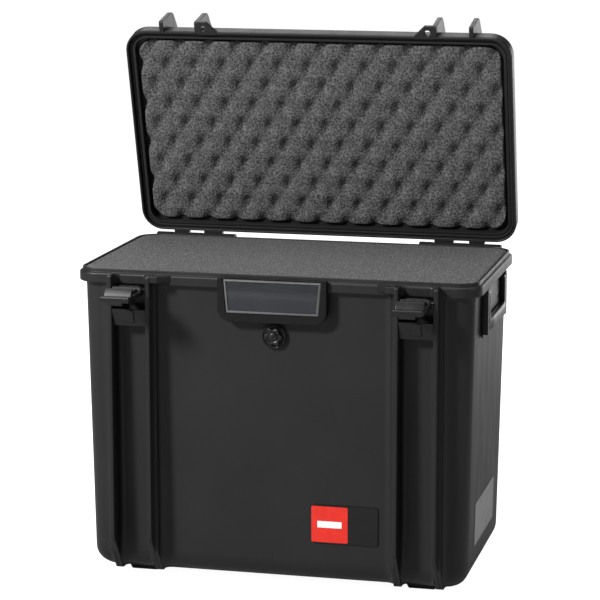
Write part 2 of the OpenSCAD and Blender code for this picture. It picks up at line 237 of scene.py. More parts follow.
def seal_rubber(name):
    m = Nodes(name)
    m.tone(m.noise(260, 4), grey(0.006), grey(0.011))
    m.roughness(m.spread(m.noise(420, 3), 0.6, 0.78))
    m.normal(m.bump(m.noise(1400, 2), 0.3, 0.12))
    m.set(Specular_IOR_Level=0.3)
    return m.material


def paper_card(name):
    m = Nodes(name)
    fibres = m.noise(520, 5, 0.65, stretch=(1, 1, 0.3))
    m.tone(fibres, (0.020, 0.0225, 0.026), (0.026, 0.029, 0.033))
    m.roughness(m.spread(fibres, 0.6, 0.8))
    m.normal(m.bump(fibres, 0.25, 0.08))
    m.set(Specular_IOR_Level=0.3)
    return m.material


def window_plastic(name):
    """Clear plastic with a smoky tint, slightly wavy."""
    m = Nodes(name)
    m.tone(m.noise(30, 3), (0.030, 0.033, 0.038), (0.040, 0.044, 0.050))
    m.roughness(m.spread(m.noise(70, 4), 0.05, 0.12))
    m.normal(m.bump(m.noise(26, 2), 0.05, 0.25))
    m.set(Alpha=0.40, Specular_IOR_Level=0.5)
    m.material.surface_render_method = "BLENDED"
    return m.material


def printed_film(name, low, high, rough):
    """Printed label film with a faint orange-peel surface."""
    m = Nodes(name)
    m.tone(m.noise(90, 4), low, high)
    m.roughness(m.spread(m.noise(160, 3), rough - 0.04, rough + 0.05))
    m.normal(m.bump(m.noise(700, 2), 0.10, 0.05))
    m.set(Specular_IOR_Level=0.4)
    return m.material


def vent_membrane(name):
    m = Nodes(name)
    weave = m.noise(2200, 3, 0.7)
    m.tone(weave, grey(0.62), grey(0.78))
    m.roughness(m.spread(weave, 0.7, 0.9))
    m.normal(m.bump(weave, 0.3, 0.05))
    return m.material


LOOK = {
    "case_resin": moulded_resin("case_resin_grained", 0.0112, 0.42, 1150, 0.16, 0.26),
    "hardware_resin": moulded_resin("hardware_resin_satin", 0.0060, 0.33, 900, 0.07, 0.32),
    "foam": open_cell_foam("foam_open_cell", 0.005, 0.135, 560.0),
    "tray_black": moulded_resin("tray_black_satin", 0.0022, 0.24, 900, 0.04, 0.26),
    # a darker copy of the foam for the lid: painted shade, standing in for the lid's foam getting less light than
    # the foam in the tub
    "lid_foam": open_cell_foam("foam_open_cell_lid_painted_shade", 0.003, 0.11, 430.0),
    "seal_rubber": seal_rubber("seal_rubber_matt"),
    "steel": brushed_steel("steel_brushed", 0.42, 0.58),
    "black_steel": brushed_steel("steel_blackened", 0.035, 0.06),
    "membrane": vent_membrane("membrane_vent"),
    "card": paper_card("card_dark_stock"),
    "clear_window": window_plastic("window_clear_smoked"),
    # the window's bevel in a light grey: a painted highlight for the bright lines its edges catch, with a real
    # gloss on top
    "window_edge": printed_film("window_edge_painted_highlight", grey(0.09), grey(0.12), 0.22),
    "badge_black": printed_film("badge_black_gloss", grey(0.0015), grey(0.0022), 0.24),
    "badge_red": printed_film("badge_red_gloss", (0.56, 0.016, 0.008), (0.64, 0.022, 0.012), 0.26),
    "badge_white": printed_film("badge_white_print", grey(0.72), grey(0.80), 0.3),
    "label_grey": printed_film("label_grey_film", grey(0.24), grey(0.28), 0.45),
}


# ---- mesh helpers ----

WELD = 0.002            # points closer than this are one point
SHARP = 32.0            # edges that bend more than this stay sharp, in degrees


def circle_arc(centre, radius, start, end, steps):
    """Points on an arc in a plane, angles in degrees."""
    angles = [start + (end - start) * i / steps for i in range(steps + 1)]
    return [(centre[0] + radius * cosd(a), centre[1] + radius * sind(a)) for a in angles]


def circle(radius, height, count):
    """A level ring of points about Z."""
    angles = [2 * math.pi * i / count for i in range(count)]
    return [(radius * math.cos(a), radius * math.sin(a), height) for a in angles]


def loft(bm, rings, closed=False):
    """Skins rings that all have the same number of points, with a cap at each end; or, closed, joins the
    last ring to the first one."""
    levels = [[bm.verts.new(p) for p in ring] for ring in rings]
    pairs = list(zip(levels, levels[1:]))
    if closed:
        pairs.append((levels[-1], levels[0]))
    for low, high in pairs:
        for i in range(len(low)):
            j = (i + 1) % len(low)
            bm.faces.new((low[i], low[j], high[j], high[i]))
    if not closed:
        bm.faces.new(list(reversed(levels[0])))
        bm.faces.new(levels[-1])


def clean(bm):
    bmesh.ops.remove_doubles(bm, verts=bm.verts, dist=WELD)
    bmesh.ops.dissolve_degenerate(bm, edges=bm.edges, dist=WELD)
    bmesh.ops.recalc_face_normals(bm, faces=bm.faces)


def absorb(bm, other, matrix=None):
    """Adds the other mesh to bm, moved by the matrix."""
    if matrix is not None:
        bmesh.ops.transform(other, matrix=matrix, verts=other.verts)
        if matrix.determinant() < 0:
            bmesh.ops.reverse_faces(other, faces=other.faces)
    mesh = bpy.data.meshes.new("scratch")
    other.to_mesh(mesh)
    other.free()
    bm.from_mesh(mesh)
    bpy.data.meshes.remove(mesh)
    return bm


def placed(bm, matrix):
    """The mesh, moved by the matrix."""
    return absorb(bmesh.new(), bm, matrix)


def round_edges(bm, size, steps, sharper):
    """Rounds the edges that bend more than so many degrees."""
    edges = [e for e in bm.edges if len(e.link_faces) == 2
             and e.calc_face_angle(0) > math.radians(sharper)]
    bmesh.ops.bevel(bm, geom=edges, offset=size, offset_type="OFFSET", segments=steps,
                    profile=0.5, affect="EDGES", clamp_overlap=True)


def prism(outline, start, end, along, edge, steps=3, sharper=25):
    """A solid with this outline, from start to end along an axis, with rounded edges.
    The outline is (y, z) along x, (x, z) along y and (x, y) along z."""
    place = {"x": lambda a, b, t: (t, a, b),
             "y": lambda a, b, t: (a, t, b),
             "z": lambda a, b, t: (a, b, t)}[along]
    bm = bmesh.new()
    loft(bm, [[place(a, b, t) for a, b in outline] for t in (start, end)])
    clean(bm)
    if edge:
        round_edges(bm, edge, steps, sharper)
    return bm


def box_prism(low, high, edge):
    outline = [(low[0], low[1]), (high[0], low[1]), (high[0], high[1]), (low[0], high[1])]
    return prism(outline, low[2], high[2], "z", edge)


def turned(profile, count):
    """Revolves (radius, height) points about Z. Points on the axis close the form."""
    bm = bmesh.new()
    loft(bm, [circle(r, height, count) for r, height in profile])
    clean(bm)
    return bm


def soft_profile(points, radius, steps=3):
    """Rounds the inner corners of an open line of points."""
    result = [points[0]]
    for before, corner, after in zip(points, points[1:], points[2:]):
        b, c, a = Vector(before), Vector(corner), Vector(after)
        reach = min(radius, (b - c).length * 0.45, (a - c).length * 0.45)
        first, last = c + (b - c).normalized() * reach, c + (a - c).normalized() * reach
        for i in range(steps + 1):
            t = i / steps
            result.append(tuple(first * (1 - t) ** 2 + c * 2 * t * (1 - t) + last * t * t))
    result.append(points[-1])
    return result


def rounded_outline(half_x, half_y, r, steps):
    """Counter-clockwise rounded rectangle."""
    result = []
    for cx, cy, start in ((half_x - r, -(half_y - r), -90), (half_x - r, half_y - r, 0),
                          (-(half_x - r), half_y - r, 90), (-(half_x - r), -(half_y - r), 180)):
        result += circle_arc((cx, cy), r, start, start + 90, steps)
    return result


def mesh_object(name, bm, sharp, weighted):
    """Turns a millimetre bmesh into an object in metres with clean hard-surface shading."""
    bmesh.ops.scale(bm, vec=(MM, MM, MM), verts=bm.verts)
    mesh = bpy.data.meshes.new(name)
    bm.to_mesh(mesh)
    bm.free()
    mesh.shade_smooth()
    mesh.set_sharp_from_angle(angle=math.radians(sharp))
    made = bpy.data.objects.new(name, mesh)
    bpy.context.scene.collection.objects.link(made)
    if weighted:
        modifier = made.modifiers.new("weights", "WEIGHTED_NORMAL")
        modifier.keep_sharp = True
        modifier.weight = 50
        bake_modifiers(made)
    return made


def bake_modifiers(made):
    """Applies the modifiers so that the mesh is final."""
    bpy.context.view_layer.update()
    evaluated = made.evaluated_get(bpy.context.evaluated_depsgraph_get())
    final = bpy.data.meshes.new_from_object(evaluated)
    old = made.data
    made.modifiers.clear()
    made.data = final
    name = old.name
    bpy.data.meshes.remove(old)
    final.name = name


def carve(bm, *cutters):
    """bm with the cutters taken away."""
    def temporary(source):
        mesh = bpy.data.meshes.new("carve")
        source.to_mesh(mesh)
        source.free()
        made = bpy.data.objects.new("carve", mesh)
        bpy.context.scene.collection.objects.link(made)
        return made

    target = temporary(bm)
    tools = [temporary(c) for c in cutters]
    for tool in tools:
        modifier = target.modifiers.new("cut", "BOOLEAN")
        modifier.operation = "DIFFERENCE"
        modifier.solver = "EXACT"
        modifier.object = tool
    bake_modifiers(target)
    result = bmesh.new()
    result.from_mesh(target.data)
    for made in (target, *tools):
        mesh = made.data
        bpy.data.objects.remove(made)
        bpy.data.meshes.remove(mesh)
    return result


def piece(name, bm, body, slot, replaces=(), look=None, sharp=SHARP, weighted=True):
    """A finished piece: it rides on its body, has its finish and stands for its CAD nodes."""
    made = mesh_object(name, bm, sharp, weighted)
    made.data.materials.append(LOOK[look or slot])
    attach(made, body)
    if replaces:
        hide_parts(*replaces)
    return made


def mirrored(make, side):
    """The mesh that make() draws on the right, or its mirror image for side -1."""
    bm = make()
    if side < 0:
        bmesh.ops.scale(bm, vec=(-1, 1, 1), verts=bm.verts)
        bmesh.ops.reverse_faces(bm, faces=bm.faces)
    return bm


# ---- sizes of the case, millimetres ----

RIM_X, RIM_Y, RIM_R = 215.0, 120.0, 24.0
RIM_TOP = 334.0
BAND_LOW, BAND_TOP, LEDGE = RIM_TOP - 15, RIM_TOP - 4, RIM_TOP - 11
TUB_X, TUB_Y, TUB_R = 208.0, 113.0, 17.0
WALL, EDGE_R, FOOT_H = 4.5, 22.0, 6.0
DRAFT = 1.0             # lean of the tub's walls, in degrees
SLOPE = math.tan(math.radians(DRAFT))
LATCH_X, CHANNEL_HALF, RIB_T, STEP_T = 152.0, 18.0, 5.0, 3.5
RIBS_END = LATCH_X + CHANNEL_HALF + RIB_T + STEP_T
CHANNEL_FILLET, RIB_ROUND = 6.0, 1.2
RIB_FRONT, RIB_BACK, STEP_FRONT = 133.0, 126.0, 121.0
RIB_TOE, RIB_LEAN = TUB_Y - 11.5, 1.29
FIN_GAP = 35.0
HINGE_Y, HINGE_Z = (c / MM for c in JOINTS["lid_hinge"]["pos_m"][1:])
LID_ANGLE = -JOINTS["lid_hinge"]["range_deg"][0]
KNUCKLE_R, PIN_BORE_R = 7.8, 2.56
TUB_KNUCKLES = ((106, 121.5), (144.5, 160.5), (179.5, 198))
LID_KNUCKLES = ((122, 144), (161, 179))
LID_LOW, LID_BAND_TOP, LID_TOP = RIM_TOP - 3.4, RIM_TOP + 13.5, RIM_TOP + 50
EYE_X, EYE_Y, EYE_FRONT, EYE_HOLE = 124.5, -124.0, 132.0, 3.2

# the lid is drawn shut, and this opens it
OPEN_LID = (Matrix.Translation((0, HINGE_Y, HINGE_Z)) @ turn(-LID_ANGLE, "X")
            @ Matrix.Translation((0, -HINGE_Y, -HINGE_Z)))


def wall_at(half, z):
    """Half size of a drafted tub wall at height z."""
    return half - (BAND_LOW - z) * SLOPE


# ---- tub ----

def rib_reach(front, z):
    """How far out a rib stands at height z: it slants out from its toe, then turns upright."""
    slant = RIB_TOE + (z - FOOT_H) / RIB_LEAN
    share = min(max(0.5 + (front - slant) / 5.0, 0), 1)
    return front + (slant - front) * share - 2.5 * share * (1 - share)


def half_channel(wall, rib, step, reach, drop, shrink):
    """Section of one side of a channel: (distance from its middle, distance outwards) from the
    open wall, over the step and the rib, to the channel floor."""
    rib, step = max(rib - shrink, wall), max(step - shrink, wall)
    narrow = min(shrink, 1.25)
    blend = min(drop, max(step - wall - 0.8, 0))
    outer = CHANNEL_HALF + RIB_T + STEP_T
    line = [(outer + reach * (1 - sind(a)), wall + blend * (1 - cosd(a))) for a in range(0, 91, 15)]
    line += [(outer, max(step - 0.8, wall)), (outer - 0.23, max(step - 0.23, wall)), (outer - 0.8, step)]
    side = CHANNEL_HALF + RIB_T
    line += [(side + 0.7, step), (side + 0.2, min(step + 0.2, rib)), (side - narrow, min(step + 0.7, rib))]
    r = RIB_ROUND
    top = max(rib, wall)
    corner = max(top - r, wall)
    rise = top - corner
    for a in range(0, 91, 30):
        line.append((side - narrow - r * (1 - cosd(a)), corner + rise * sind(a)))
    for a in range(90, -1, -30):
        line.append((CHANNEL_HALF + narrow + r * (1 - cosd(a)), corner + rise * sind(a)))
    fillet = min(CHANNEL_FILLET, max(top - wall, 0))
    for a in range(0, 91, 15):
        line.append((CHANNEL_HALF - CHANNEL_FILLET + CHANNEL_FILLET * cosd(a), wall + fillet * (1 - sind(a))))
    line.append((0, wall))
    return line


def tub_ring(z, half_x, half_y, r, front_rib=0.0, front_step=0.0, back_rib=0.0, shrink=0.0):
    """One level of the tub's outside, counter-clockwise from the middle of the front."""
    half_x, half_y = half_x - shrink, half_y - shrink
    room = max(half_x - r - RIBS_END - 0.2, 0.2)

    def ribbed(rib, step, widest, drop):
        inner = [(LATCH_X - u, o) for u, o in half_channel(half_y, rib, step, widest, drop, shrink)]
        outer = [(LATCH_X + u, o) for u, o in half_channel(half_y, rib, step, min(widest, room), drop, shrink)]
        return [(0, half_y), (60, half_y)] + inner + outer[::-1][1:]

    front = [(x, -o) for x, o in ribbed(front_rib, front_step, 10, 7)]
    back = [(x, o) for x, o in ribbed(back_rib, half_y, 8, 0)][::-1]
    corner_low = circle_arc((half_x - r, -(half_y - r)), r, -90, 0, 10)
    corner_high = circle_arc((half_x - r, half_y - r), r, 0, 90, 10)
    right = front + corner_low + [(half_x, 0)] + corner_high + back
    left = [(-x, y) for x, y in right[1:-1]][::-1]
    return [(x, y, z) for x, y in right + left]


def body_mesh():
    """The tub as one skin: up its outside, over the rim and down its inside."""
    rings = []
    # up the rounded bottom edge, past the slanting ends of the ribs, up the wall
    heights = [FOOT_H + EDGE_R * (1 - sind(a)) for a in range(90, -1, -10)]
    heights += [29.2, 30.4, 31.6, 33, 35, 36.4, 37.6, 38.8, 40.2, 43, 44.8, 46, 47.2, 48.6, 50.5]
    heights += [120, 200, 280, 314]
    for z in heights:
        draw = 0.0
        if z < FOOT_H + EDGE_R:
            draw = EDGE_R * (1 - math.sqrt(max(1 - (1 - (z - FOOT_H) / EDGE_R) ** 2, 0)))
        half_x, half_y = wall_at(TUB_X, z) - draw, wall_at(TUB_Y, z) - draw
        r = min(max(TUB_R - draw / 2, 4), half_x - (RIBS_END + 0.8))
        rings.append(tub_ring(z, half_x, half_y, r, rib_reach(RIB_FRONT, z), rib_reach(STEP_FRONT, z),
                              rib_reach(RIB_BACK, z), 1.0 if z <= FOOT_H else 0.0))
    half_x, half_y = (wall_at(half, FOOT_H) - EDGE_R + 3.2 for half in (TUB_X, TUB_Y))
    toe = RIB_TOE + 0.3
    rings.insert(1, tub_ring(FOOT_H + 0.3, half_x, half_y, 1.4, toe, toe, toe, 0.3))
    # the fillet under the band, where the back ribs end, then the band with its rounded edges
    rib = dict(front_rib=RIB_FRONT, back_rib=RIB_BACK)
    for z, out in ((316.5, 0.15), (317.95, 0.6), (318.0, 0.65), (318.6, 1.5), (319.0, 3.0)):
        if z >= BAND_LOW - 1:
            rib["back_rib"] = 0
        rings.append(tub_ring(z, TUB_X + out, TUB_Y + out, TUB_R + out, front_step=STEP_FRONT, **rib))
    for z, inset in ((319.0, 1.4), (319.15, 0.7), (319.5, 0.2), (320.1, 0.0)):
        rings.append(tub_ring(z, RIM_X - inset, RIM_Y - inset, RIM_R - inset, front_step=STEP_FRONT, **rib))
    for z in (320.4, 323.6, 327.2):
        rings.append(tub_ring(z, RIM_X, RIM_Y, RIM_R, **rib))
    for z, shrink in ((327.8, 0.0), (328.64, 0.17), (329.36, 0.64), (329.83, 1.36), (330.0, 2.2)):
        rings.append(tub_ring(z, RIM_X, RIM_Y, RIM_R - shrink, shrink=shrink, **rib))
    # shelf inside the ribs, then the sealing tongue, the ledge and the inside of the tub
    for z, inset in ((330.0, 2.45), (330.08, 2.8), (330.5, 3.0), (333.2, 3.1), (333.8, 3.35), (334.0, 3.9),
                     (334.0, 4.7), (333.8, 5.2), (333.2, 5.5), (LEDGE + 0.4, 5.5), (LEDGE, 6.0)):
        rings.append(tub_ring(z, RIM_X - inset, RIM_Y - inset, RIM_R - inset))
    for z in (LEDGE, LEDGE - 1, 200, 60, FOOT_H + EDGE_R):
        half_x, half_y = wall_at(TUB_X, z) - WALL, wall_at(TUB_Y, z) - WALL
        rings.append(tub_ring(z, half_x, half_y, TUB_R - WALL))
    for a in range(15, 91, 15):
        r = EDGE_R - WALL
        z = FOOT_H + WALL + r * (1 - sind(a))
        draw = WALL + r * (1 - cosd(a))
        half_x, half_y = wall_at(TUB_X, z) - draw, wall_at(TUB_Y, z) - draw
        rings.append(tub_ring(z, half_x, half_y, max(TUB_R - WALL - draw / 2, 4)))
    bm = bmesh.new()
    loft(bm, rings)
    clean(bm)
    return bm


def padlock_plate(low, high):
    """Gusset plate beside the inner rib with its padlock hole."""
    start, end = EYE_X - 15.2, LATCH_X - CHANNEL_HALF - 2.5
    root = -RIM_Y + 3
    outline = [(start, root), (start, -RIM_Y), (EYE_X - 3.2, -EYE_FRONT), (end, -EYE_FRONT), (end, root)]
    plate = prism(outline, low, high, "z", 0.7)
    flare, mouth = 0.6, EYE_HOLE + 1.4
    hole = turned([(0, low - 1), (mouth, low - 1), (EYE_HOLE, low + flare), (EYE_HOLE, high - flare),
                   (mouth, high + 1), (0, high + 1)], 40)
    bmesh.ops.translate(hole, vec=(EYE_X, EYE_Y, 0), verts=hole.verts)
    return carve(plate, hole)


def knuckle(span, base_low, base_high, web_y):
    """Hinge barrel with rounded ends and a solid web to the rim; its bore is left open at the ends."""
    length = span[1] - span[0]
    edge, half_edge = KNUCKLE_R - 0.6, KNUCKLE_R - 0.18
    ring = turned([(PIN_BORE_R, 0), (edge, 0), (half_edge, 0.18), (KNUCKLE_R, 0.6), (KNUCKLE_R, length - 0.6),
                   (half_edge, length - 0.18), (edge, length), (PIN_BORE_R, length)], 40)
    place = Matrix.Translation((span[0], HINGE_Y, HINGE_Z)) @ turn(90, "Y")
    bm = placed(ring, place)
    end = HINGE_Y - 0.5
    web = prism([(web_y, base_low), (end, base_low), (end, base_high), (web_y, base_high)],
                span[0] + 0.3, span[1] - 0.3, "x", 0.8)
    return absorb(bm, web)


def tub_hardware():
    """The tub's padlock plate and hinge knuckles on the right."""
    bm = bmesh.new()
    absorb(bm, padlock_plate(BAND_TOP - 7, BAND_TOP))
    for span in TUB_KNUCKLES:
        absorb(bm, knuckle(span, HINGE_Z - KNUCKLE_R, HINGE_Z - 1, RIM_Y - 2))
    return bm


def make_body():
    bm = body_mesh()
    for side in (1, -1):
        absorb(bm, mirrored(tub_hardware, side))
    # a low round pad under the valve
    pad = turned(soft_profile([(0, -3), (14.9, -3), (15, 0.35), (14.4, 0.42), (0, 0.42)], 0.3), 64)
    absorb(bm, pad, ON_VALVE)
    piece("tub", bm, "case", "case_resin", ["body_shell"])


# ---- purge valve ----

VALVE_LOW, VALVE_HIGH = (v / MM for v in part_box("valve_body"))
VALVE_Z = (VALVE_LOW.z + VALVE_HIGH.z) / 2
VALVE_FACE = VALVE_LOW.y + 4.0
# places a turned piece on the front wall, with its +Z outwards
ON_VALVE = Matrix.Translation((0, VALVE_FACE, VALVE_Z)) @ turn(90, "X")


def make_valve():
    body = turned(soft_profile([(3.1, -8.8), (7, -8.8), (7, 0.05), (8.4, 0.05), (8.4, 2.0), (11.6, 2.0),
                                (11.6, 0.05), (13, 0.05), (13, 3.2), (12.3, 3.95), (11.6, 3.95), (11.2, 3.2),
                                (10.4, 3.0), (10.0, 3.9), (9.4, 3.95), (9.0, 3.4), (3.1, 3.4)], 0.3), 72)
    piece("valve_housing", placed(body, ON_VALVE), "case", "hardware_resin", ["valve_body"])
    count, lobes = 96, 6

    def lobed(out, grow, depth):
        ring = []
        for i in range(count):
            a = 2 * math.pi * i / count
            r = 8.55 + grow + 1.1 * math.cos(lobes * a) * depth
            ring.append((r * math.cos(a), r * math.sin(a), out))
        return ring

    # the knob: a lobed grip, a dished face with a raised middle, its stem and its finger bar
    rings = [lobed(*level) for level in ((4.2, -1.0, 0.6), (4.2, -0.2, 0.9), (4.6, 0.1, 1), (6.6, 0.0, 1),
                                         (7.3, -0.3, 1), (7.6, -0.9, 0.9), (7.6, -1.9, 0.7))]
    rings += [circle(r, out, count) for r, out in ((6.0, 7.3), (5.2, 6.9), (4.4, 7.0), (3.9, 8.1), (3.4, 8.4),
                                                   (0.6, 8.45))]
    bm = bmesh.new()
    loft(bm, rings)
    absorb(bm, turned(soft_profile([(0, -6), (2.98, -6), (2.98, 4.6), (0, 4.6)], 0.3), 40))
    absorb(bm, box_prism((-4.4, -0.9, 7.0), (4.4, 0.9, 8.45), 0.35))
    piece("valve_cap", placed(bm, ON_VALVE), "valve_knob_body", "hardware_resin", ["valve_knob"])


# ---- foam ----

def foam_block(levels):
    """A foam slab: rings of (z, half x, half y, corner radius) with soft edges."""
    bm = bmesh.new()
    loft(bm, [[(x, y, z) for x, y in rounded_outline(half_x, half_y, r, 8)] for z, half_x, half_y, r in levels])
    clean(bm)
    return bm


def make_foam():
    """The block foam in the tub, from the bottom up, then its flat top sheet and the lid's foam."""
    inset = WALL + 0.7
    splits = [FOOT_H + inset, 31, 125, 224, LEDGE]
    for name, low, high in zip(("foam_base_pad", "foam_lower", "foam_middle", "foam_upper"), splits, splits[1:]):
        levels = []
        heights = [low, low + 1, low + 3, (low + high) / 2, high - 3, high - 1, high - 0.2]
        for i, z in enumerate(heights):
            soft = {0: 2.2, 1: 0.6, 5: 0.6, 6: 2.2}.get(i, 0.0)
            draw = inset + soft
            if z < FOOT_H + EDGE_R:
                r = EDGE_R - inset
                lift = max(1 - (z - FOOT_H - inset) / r, 0)
                draw += r * (1 - math.sqrt(max(1 - lift * lift, 0)))
            levels.append((z, wall_at(TUB_X, z) - draw, wall_at(TUB_Y, z) - draw, max(TUB_R - draw / 2, 4)))
        bm = foam_block(levels)
        if high > VALVE_Z > low:
            # room for the part of the valve that is inside the wall
            pocket = turned([(0, -14), (14, -14), (14, 30), (0, 30)], 40)
            bm = carve(bm, placed(pocket, ON_VALVE))
        made = piece(name + "_block", bm, "case", "foam", [name], weighted=False)
    low, high = (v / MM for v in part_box("foam_top"))
    half_x, half_y = high.x, high.y
    levels = [(low.z, half_x - 1.5, half_y - 1.5, 17), (low.z + 1, half_x - 0.3, half_y - 0.3, 18),
              (low.z + 4, half_x, half_y, 18), (high.z - 2.2, half_x - 0.1, half_y - 0.1, 18),
              (high.z - 0.9, half_x - 0.8, half_y - 0.8, 17.5), (high.z - 0.2, half_x - 2.2, half_y - 2.2, 16.5),
              (high.z, half_x - 4.5, half_y - 4.5, 15)]
    made = piece("foam_top_sheet", foam_block(levels), "case", "foam", ["foam_top"], weighted=False)
    make_lid_foam()


CREST_Z = RIM_TOP + 2.5
CRATE_PITCH_X, CRATE_PITCH_Y = 32.0, 23.4
CRATE_COLUMN, CRATE_ROW = 6.0, -79.4    # a column and a row of the pattern, from the lid's middle
CRATE_DEPTH, CRATE_POWER = 6.0, 3       # depth of the pits; a higher power makes them narrower


def crate_depth(x, y):
    """Depth of the egg-crate pits under the crest plane."""
    f = (-math.cos(2 * math.pi * (x - CRATE_COLUMN) / CRATE_PITCH_X)
         * math.cos(math.pi * (y - CRATE_ROW) / CRATE_PITCH_Y))
    return CRATE_DEPTH * ((1 + f) / 2) ** CRATE_POWER


def make_lid_foam():
    """Egg-crate foam, drawn with the lid shut: its pitted face looks down, and its back is flat."""
    half_x, half_y, r = 202.2, 107.2, 17.2
    count, rows = 232, 134
    # the columns of the grid: evenly spaced, then closing up round the corners
    columns = [half_x - r + r * sind(a) for a in range(0, 91, 9)]
    inner = [-(half_x - r) + 2 * (half_x - r) * i / count for i in range(count + 1)]
    xs = [-x for x in columns[:0:-1]] + inner + columns[1:]
    bm = bmesh.new()
    grid = []
    for x in xs:
        over = max(abs(x) - (half_x - r), 0)
        limit = half_y - r + math.sqrt(max(r * r - over * over, 0))
        line = []
        for j in range(rows + 1):
            y = -limit + 2 * limit * j / rows
            edge = min(limit - abs(y), half_x - abs(x))
            soft = 1.2 * max(1 - edge / 1.6, 0) ** 2
            line.append(bm.verts.new((x, y, CREST_Z + crate_depth(x, y) + soft)))
        grid.append(line)
    for a, b in zip(grid, grid[1:]):
        for j in range(rows):
            bm.faces.new((a[j], a[j + 1], b[j + 1], b[j]))
    # the sides and the back, from the edge of the grid
    rim = [g[0] for g in grid] + grid[-1][1:] + [g[-1] for g in grid[-2::-1]] + grid[0][-2:0:-1]
    previous = rim
    for z, inset in ((CREST_Z + 13, 0.0), (366, 2.2), (371, 4.0), (373, 8.0)):
        level = []
        for v in rim:
            factor = 1 - inset / max(abs(v.co.x), abs(v.co.y))
            level.append(bm.verts.new((v.co.x * factor, v.co.y * factor, z)))
        for i in range(len(rim)):
            j = (i + 1) % len(rim)
            bm.faces.new((previous[i], previous[j], level[j], level[i]))
        previous = level
    bm.faces.new(previous)
    clean(bm)
    # the lid foam's look is the darker copy of the foam, painted shade
    made = piece("lid_foam_crate", placed(bm, OPEN_LID), "lid", "foam", ["lid_foam"],
                 look="lid_foam", sharp=80, weighted=False)


# ---- lid ----

def lid_ring(inset, z, r=None):
    """One level of the lid: the rim's outline moved inwards, with its corners to match unless r is given."""
    if r is None:
        r = RIM_R - inset
    return [(x, y, z) for x, y in rounded_outline(RIM_X - inset, RIM_Y - inset, r, 12)]


def lid_shell_mesh():
    """The lid as one skin, drawn shut: down its inside, round its rim and up its outside."""
    edge_r, lean, wall, dish_in = 20.0, 3.0, 4.0, 8
    shoulder = LID_TOP - edge_r
    inner_r = edge_r - wall
    # inside of the dish, from its top down
    rings = [lid_ring(60, LID_TOP - wall, 4)]
    for a in range(90, -1, -15):
        draw = dish_in + lean + wall + inner_r * (1 - cosd(a))
        rings.append(lid_ring(draw, shoulder + inner_r * sind(a), max(17 - (draw - 15) * 0.7, 4)))
    rings.append(lid_ring(12.0, 343.3, 18))
    # the inner lip, round the gasket groove and the outer lip, up the band
    for inset, z in ((9.5, 343.3), (9.5, 335.0), (9.3, 334.5), (8.8, 334.3), (7.0, 334.3), (6.5, 334.5),
                     (6.3, 335.0), (6.3, 338.3), (2.6, 338.3), (2.6, 331.4), (2.4, 330.9), (2.0, 330.65),
                     (0.9, 330.65), (0.35, 330.85), (0.1, 331.3), (0.1, 331.9), (0.9, 332.2), (0.9, 333.0),
                     (0.1, 333.3), (0.0, 333.8), (0.0, 345.9), (0.2, 346.7), (0.7, 347.25), (1.5, 347.5),
                     (6.9, 347.5), (7.7, 347.75)):
        rings.append(lid_ring(inset, z))
    # wall of the dish, its rounded top edge and the top
    rings.append(lid_ring(8.05, 348.4, 22))
    for a in range(0, 91, 9):
        draw = dish_in + lean + edge_r * (1 - cosd(a))
        rings.append(lid_ring(draw, shoulder + edge_r * sind(a), max(21 - (draw - 11) * 0.7, 6)))
    rings.append(lid_ring(60, LID_TOP, 4))
    bm = bmesh.new()
    loft(bm, rings)
    clean(bm)
    return bm


def fin_outline():
    """Guard fin beside a latch: up the lid, round a peak and in to its top; inwards it ends in the wall."""
    outline = soft_profile([(-118.5, LID_LOW + 0.05), (-EYE_FRONT, LID_LOW + 0.05), (-129.6, 367), (-126.5, 372.5),
                            (-107, LID_TOP), (-97, LID_TOP), (-92, LID_TOP - 1)], 3.0, 4)
    return outline + [(-92.1, 381.7), (-100.6, 377.8), (-105.9, 370.2), (-107, 364), (-110, 349), (-118.5, 346.5)]


def lid_hardware():
    """The lid's guard fins, padlock plate and hinge knuckles on the right."""
    bm = bmesh.new()
    for start in (LATCH_X - FIN_GAP / 2 - RIB_T, LATCH_X + FIN_GAP / 2):
        absorb(bm, prism(fin_outline(), start, start + RIB_T, "x", 0.9, 3, 40))
    absorb(bm, padlock_plate(LID_LOW, LID_LOW + 4.4))
    for span in LID_KNUCKLES:
        absorb(bm, knuckle(span, LID_LOW, HINGE_Z + 10.9, RIM_Y - 1))
    return bm


def make_lid():
    bm = lid_shell_mesh()
    for side in (1, -1):
        absorb(bm, mirrored(lid_hardware, side))
    piece("lid", placed(bm, OPEN_LID), "lid", "case_resin", ["lid_shell"])
    gasket = bmesh.new()
    section = ((2.85, 338.4), (2.85, 335.6), (3.2, 334.8), (4.0, 334.45), (4.9, 334.45), (5.7, 334.8),
               (6.05, 335.6), (6.05, 338.4))
    loft(gasket, [lid_ring(inset, z) for inset, z in section], closed=True)
    clean(gasket)
    piece("gasket", placed(gasket, OPEN_LID), "lid", "seal_rubber", ["lid_gasket"])


# ---- latches ----

LATCH_POS = [c / MM for c in JOINTS["latch_right_hinge"]["pos_m"]]
LEVER_ANGLE = JOINTS["latch_right_hinge"]["range_deg"][1]
LEVER_HALF, LEVER_LEN = 15.5, 53.0


